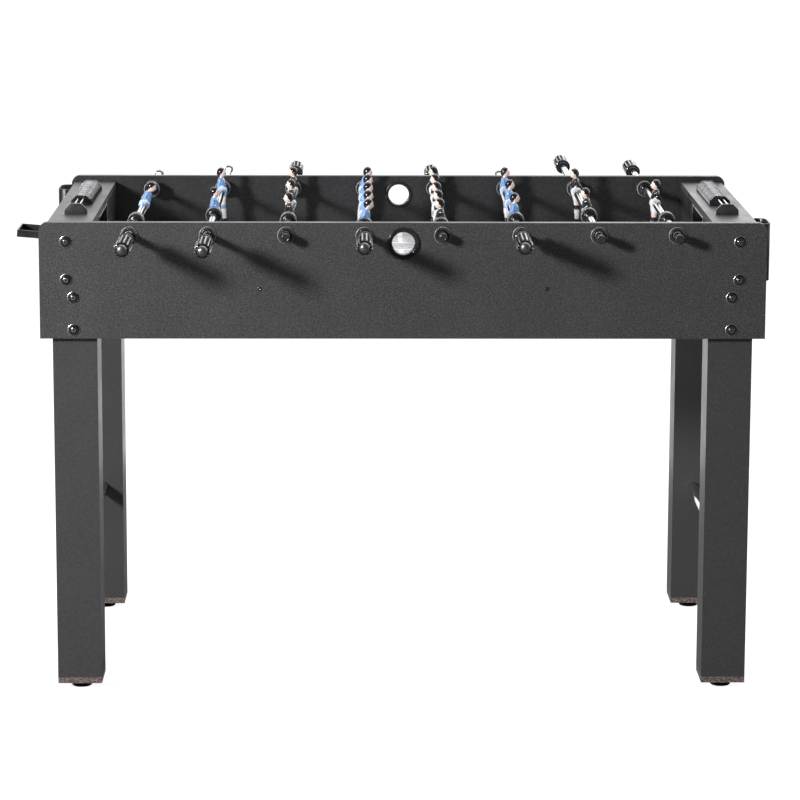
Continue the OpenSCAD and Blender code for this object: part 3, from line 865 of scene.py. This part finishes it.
# ---------------------------------------------------------------- rods
def grip_shape():
    """Fluted handle along +Z, from its domed end at 0 to its neck at 105.

    Its grooves are painted matt near-black as painted shade, and its dome and ridges are painted lighter,
    glossy metal as a painted highlight.
    """
    flutes = 12
    profile = [
        (0, 0), (2.6, 0.2), (5.0, 0.9), (7.0, 2.2), (8.4, 3.9), (9.0, 5.4), (9.4, 5.6), (10.4, 5.7),
        (11.9, 6.1), (13.0, 7.4), (13.6, 9.5), (13.9, 13), (14, 20), (13.8, 34), (13.6, 50), (13.8, 66),
        (14, 78), (13.9, 84), (13.5, 87.5), (12.8, 89.5), (12.4, 91), (12.3, 93.5), (13.2, 94),
        (13.8, 94.8), (13.9, 96.5), (13.6, 98.2), (12.6, 99), (10.4, 99.4), (9.8, 100.2), (9.5, 101),
        (9.5, 104.4), (9.0, 105), (0, 105),
    ]
    depth = [0] * 6 + [0.8, 2.6, 3.6] + [3.9] * 9 + [3.2, 1.6, 0.3] + [0] * 12
    notched = (6, 7, 8)
    dome_end, flute_end = 5.5, 89

    def groove(angle):
        share = max(0.0, min(1.0, (math.cos(flutes * angle) + 0.35) / 0.6))
        return share * share * (3 - 2 * share)

    def flute(radius, height, angle, number):
        cut = depth[number] * groove(angle)
        return (radius, height + cut) if number in notched else (radius - cut, height)

    points, faces = turned(profile, flutes * 12, shape=flute)
    # The dome and the ridges get the painted highlight, and the grooves the painted shade.
    paints = []
    for face in faces:
        middle = middle_of(points, face)
        if middle.z < dome_end:
            paints.append("dome")
        elif not dome_end < middle.z < flute_end:
            paints.append("gloss_black")
        else:
            paints.append("groove_painted_shade" if groove(math.atan2(middle.y, middle.x)) > 0.5 else "ridge")
    return points, faces, paints


def cap_shape():
    """Plain end cap along +Z, from its inner end at 0 to its face at 22."""
    profile = [(0, 0), (7.0, 0), (7.6, 0.5), (7.75, 1.2), (7.75, 18.8), (7.4, 20.2), (6.6, 21.2),
               (5.4, 21.7), (4.6, 21.6), (4.2, 21.2), (3.4, 21.1), (0, 21.3)]
    return turned(profile, 40)


def bumper_shape():
    """Rod bumper along +Z, 16 long: rounded rims and a ring of dimples in each face."""
    dimples = 14
    outer, bore = 14.5, 6.4
    near_face, middle_height, far_face = 1, 8, 15
    profile = [
        (bore, 15.2), (7.6, 15.8), (8.6, 15.4), (9.3, 15.1), (10.0, 15.1), (10.8, 15.1), (11.5, 15.1),
        (12.1, 15.4), (12.8, 15.9), (13.6, 15.9), (14.3, 15.4), (outer, 14.5), (outer, 9.8), (13.4, 8.8),
        (13.4, 7.2), (outer, 6.2), (outer, 1.5), (14.3, 0.6), (13.6, 0.1), (12.8, 0.1), (12.1, 0.6),
        (11.5, 0.9), (10.8, 0.9), (10.0, 0.9), (9.3, 0.9), (8.6, 0.6), (7.6, 0.2), (bore, 0.8),
    ]

    def dimple(radius, height, angle, number):
        if not 9.5 < radius < 11.2 or math.cos(dimples * angle) <= 0.1:
            return radius, height
        return radius, height + (1.6 if height < middle_height else -1.6)

    points, faces = turned(profile, dimples * 8, closed=True, shape=dimple)
    # The dimples are painted near-black as painted shade, and the outer rims light grey as a painted
    # highlight.
    paints = []
    for face in faces:
        middle = middle_of(points, face)
        across = math.hypot(middle.x, middle.y)
        inside = near_face < middle.z < far_face
        if 9.6 < across < 11.1 and inside:
            paints.append("groove_painted_shade")
        elif across > 13.5 and not inside:
            paints.append("edge")
        else:
            paints.append("flange" if across > 9 else "rubber")
    return points, faces, paints


# ---------------------------------------------------------------- players
HEAD = Vector((2.6, 0, 33.7))


def swell(direction, towards, width, height, amount):
    """Soft bump on the head towards a direction."""
    target = Vector(towards).normalized()
    if direction.x * target.x < 0:
        return 0.0
    off = direction - target
    return amount * math.exp(-(off.y / width) ** 2 - (off.z / height) ** 2)


def head_point(direction, lift=0.0):
    """Point of a calm, plain head, in mm, facing +X."""
    low = max(0.0, -direction.z)
    x = 7.6 - 0.5 * low
    y = 6.5 * (1 - 0.22 * low * low)
    out = Vector((direction.x * x, direction.y * y, direction.z * 8.8))
    bump = swell(direction, (1, 0, -0.16), 0.13, 0.17, 1.7)
    bump += swell(direction, (1, 0, 0.2), 0.5, 0.1, 0.35)
    bump += swell(direction, (1, 0, -0.8), 0.3, 0.16, 0.9)
    bump += swell(direction, (1, 0, -0.47), 0.26, 0.09, 0.35)
    for side in (-1, 1):
        bump -= swell(direction, (1, side * 0.34, 0.05), 0.16, 0.11, 0.45)
        bump += swell(direction, (1, side * 0.5, -0.3), 0.2, 0.2, 0.3)
    return HEAD + out + direction * (bump + lift)


def hair_shape():
    """Short hair: a cap from the crown to a hairline that is high in front and low behind."""
    rows, steps = 14, 40
    points = [head_point(Vector((0, 0, 1)), 0.75)]
    for row in range(1, rows + 2):
        for step in range(steps):
            turn = 2 * math.pi * step / steps
            back = (1 - math.cos(turn)) / 2
            sideburn = math.exp(-((math.cos(turn) - 0.06) / 0.15) ** 2)
            edge = math.radians(44 + 104 * back ** 1.2 + 14 * sideburn)
            share = min(row / rows, 1)
            fall = edge * share
            strands = 0.12 * math.sin(20 * turn + 3 * fall) * math.sin(fall)
            lift = (0.85 + 0.6 * back + strands) * (1 - share ** 8) if row <= rows else -3.0
            points.append(head_point(heading(fall, turn), lift))
    points.append(HEAD)
    last = len(points) - 1
    faces = []
    for step in range(steps):
        after = (step + 1) % steps
        faces.append((0, 1 + step, 1 + after))
        end = 1 + rows * steps
        faces.append((end + step, last, end + after))
        for row in range(rows):
            low = 1 + row * steps
            faces.append((low + step, low + steps + step, low + steps + after, low + after))
    return points, faces


def face_on(y, z, out):
    """Point on the front of the head at the given side and height offsets from its centre."""
    direction = Vector((1, y / 6.5, z / 8.8)).normalized()
    return head_point(direction, out)


def add_head(form):
    form.add(ball(head_point, 26, 40), "skin")
    form.add(hair_shape(), "hair")
    for side in (-1, 1):
        ear = HEAD + Vector((-0.3, side * 6.2, -0.6))
        form.add(egg(ear, 1.3, 0.7, 1.9, 8, 12), "skin")
        eye = face_on(side * 2.4, 0.5, -0.35)
        form.add(egg(eye, 0.5, 0.95, 0.62, 8, 12), "white")
        form.add(egg(eye + Vector((0.32, 0, 0)), 0.25, 0.42, 0.46, 6, 10), "hair")
        brow = [face_on(side * y, z, 0.0) for y, z in ((1.3, 1.7), (2.4, 2.1), (3.4, 1.8))]
        form.add(tube(brow, [0.2, 0.3, 0.18], 8), "hair")
    mouth = [face_on(y, z, 0.0) for y, z in ((-1.6, -4.15), (0, -4.3), (1.6, -4.15))]
    form.add(tube(mouth, [0.15, 0.3, 0.15], 8), "lips")
    neck = [oval(0.2, 0, 21.5, 4.4, 5.2), oval(0.8, 0, 24.5, 3.5, 3.9), oval(2.2, 0, 29.5, 3.3, 3.6)]
    form.add(lofted(neck), "skin")


def add_torso(form, shirt):
    """Shirt that widens from the shoulders down to the hips, with the arms held against its sides."""
    body = [(-0.2, 8.2, 8.6, 9.0), (-0.2, 9.4, 9.3, 10.0), (-0.1, 11, 9.0, 10.2), (0.3, 14, 8.1, 10.0),
            (0.6, 17.5, 7.4, 10.2), (0.5, 20.5, 6.6, 10.4), (0.2, 22.6, 5.4, 9.2), (0.1, 24.0, 4.4, 6.4),
            (0.2, 24.8, 3.8, 4.4)]
    form.add(lofted([oval(x, 0, z, d, w, 2.4, 32) for x, z, d, w in body]), shirt)
    collar = [(3.6, 24.2), (4.6, 24.0), (4.8, 24.6), (4.4, 25.2), (3.7, 25.1)]
    form.add(turned(collar, 28, closed=True), shirt, Matrix.Translation((0.2, 0, 0)))
    for side in (-1, 1):
        arm = [(0.2, side * 8.0, 22.2), (-1.0, side * 9.3, 19.6), (-1.9, side * 9.6, 16.2),
               (-1.2, side * 9.7, 13), (0.8, side * 9.7, 10.6)]
        form.add(tube(arm, [2.2, 2.5, 2.3, 2.2, 2.1], 14), shirt)
        cuff = [(0.4, side * 9.7, 11.0), (1.7, side * 9.7, 9.8)]
        form.add(tube(cuff, [2.25, 2.2], 14), "white")
        fist = [(1.2, side * 9.6, 10.2), (2.8, side * 9.5, 9.0), (4.2, side * 9.3, 8.4),
                (5.2, side * 9.1, 8.3)]
        form.add(tube(fist, [1.7, 1.9, 1.8, 1.0], 12), "white")


def add_hips(form, paint):
    """Hub of the player, moulded as the top of the shorts, with a soft rim at both sides."""
    hips = [(6.38, -10.3), (7.2, -10.6), (8.6, -10.6), (9.4, -10.2), (9.7, -9.4), (9.7, 9.4), (9.4, 10.2),
            (8.6, 10.6), (7.2, 10.6), (6.38, 10.3)]
    form.add(turned(hips, 44, closed=True), paint, ALONG_Y)


def add_legs(form, band):
    """Shorts, bare thighs, a coloured sock top, white socks and square-toed boots."""
    parts = [
        ("white", [(0, -16.4, 5.6, 4.9, 2.6), (0, -15.4, 6.0, 5.1, 2.6), (0, -9, 7.2, 5.3, 2.6),
                   (0, -3, 8.2, 5.2, 2.6)]),
        ("skin", [(0.2, -25.5, 4.3, 3.9, 2.2), (0.2, -22, 4.5, 4.0, 2.2), (0.1, -18.5, 4.8, 4.2, 2.2),
                  (0, -14, 5.0, 4.4, 2.2)]),
        (band, [(0.1, -32, 4.5, 4.1, 2.2), (0.1, -31.2, 4.8, 4.3, 2.2), (0.1, -25.4, 4.8, 4.3, 2.2),
                (0.1, -24.4, 4.5, 4.1, 2.2)]),
        ("white", [(0, -53, 3.8, 3.9, 2.4), (0, -47, 3.8, 3.8, 2.2), (-0.3, -40, 4.4, 4.1, 2.2),
                   (-0.2, -35, 4.5, 4.1, 2.2), (0.1, -31.5, 4.3, 4.0, 2.2)]),
        ("black", [(0.0, -61.5, 4.8, 4.9, 5), (0.4, -60.8, 5.4, 5.1, 5), (1.0, -57.5, 6.0, 5.1, 4.5),
                   (0.8, -54, 5.4, 4.9, 3.5), (0.2, -51, 4.4, 4.4, 2.6), (0.1, -50.2, 4.1, 4.1, 2.4)]),
    ]
    for side in (-1, 1):
        for paint, rings in parts:
            form.add(lofted([oval(x, side * 5.2, z, d, w, sq) for x, z, d, w, sq in rings]), paint)
    between = [("black", -61.3, -50.4, 3.4), ("white", -50.3, -32.1, 2.2), (band, -32.0, -24.6, 2.4),
               ("skin", -24.5, -16, 2.2)]
    for paint, low, high, depth in between:
        form.add(lofted([oval(0.1, 0, z, depth, 3, 6) for z in (low, high)]), paint)


def player(shirt):
    """One player in mm, facing +X, with the rod's axis along Y through the origin."""
    form = Form()
    add_head(form)
    add_torso(form, shirt)
    add_hips(form, "pale_blue" if shirt == "blue" else "white")
    add_legs(form, shirt)
    return form


def add_team(name, number, axis, figure):
    """Players of one rod, evenly spaced and all leaning the same way."""
    lo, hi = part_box(f"{name}_players")
    front = HANDLE_IN_FRONT[number]
    count = PLAYERS[number]
    middle = (lo.y + hi.y) / 2
    figure_w = 24 * MM
    gap = (hi.y - lo.y - figure_w) / (count - 1) if count > 1 else 0
    pose = (Matrix() if front else HALF_TURN) @ Matrix.Rotation(math.radians(LEAN[number]), 4, "Y") @ IN_MM
    row = Form()
    for k in range(count):
        spot = Matrix.Translation((0, middle + (k - (count - 1) / 2) * gap, 0))
        row.merge(figure, axis @ spot @ pose)
    row.piece(f"{name}_team", f"{name}_bar", [f"{name}_players"], crease=45)


def add_grips(name, axis, front):
    """Handle on one end of a rod and a cap on the other."""
    lo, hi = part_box(f"{name}_grips")
    handle_y, cap_y = (lo.y, hi.y) if front else (hi.y, lo.y)
    outward = (Matrix() if front else HALF_TURN) @ ALONG_Y @ IN_MM
    cap_l = 22
    grips = Form()
    points, faces, paints = grip_shape()
    grips.add((points, faces), paints, axis @ Matrix.Translation((0, handle_y, 0)) @ outward)
    cap_place = axis @ Matrix.Translation((0, cap_y, 0)) @ outward @ Matrix.Translation((0, 0, -cap_l))
    grips.add(cap_shape(), "ridge_black", cap_place)
    grips.piece(f"{name}_handle", f"{name}_bar", [f"{name}_grips"], crease=40)


def add_bumpers(name, axis):
    lo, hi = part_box(f"{name}_bumpers")
    bumper_l = 16 * MM
    bumpers = Form()
    points, faces, paints = bumper_shape()
    for y in (lo.y, hi.y - bumper_l):
        bumpers.add((points, faces), paints, axis @ Matrix.Translation((0, y, 0)) @ ALONG_Y @ IN_MM)
    bumpers.piece(f"{name}_stops", f"{name}_carriage", [f"{name}_bumpers"], crease=35)


def add_rods():
    blue_player, black_player = player("blue"), player("black")
    for number, front in enumerate(HANDLE_IN_FRONT):
        name = f"rod{number + 1}"
        lo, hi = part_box(f"{name}_tube")
        axis = Matrix.Translation(((lo.x + hi.x) / 2, 0, (lo.z + hi.z) / 2))
        paint_node(f"{name}_tube", "chrome")
        add_team(name, number, axis, blue_player if front else black_player)
        add_grips(name, axis, front)
        add_bumpers(name, axis)


add_studio()
add_boards()
add_levelers()
add_bushings()
add_entry_rings()
add_bolts()
add_screws()
add_scorers()
add_rods()
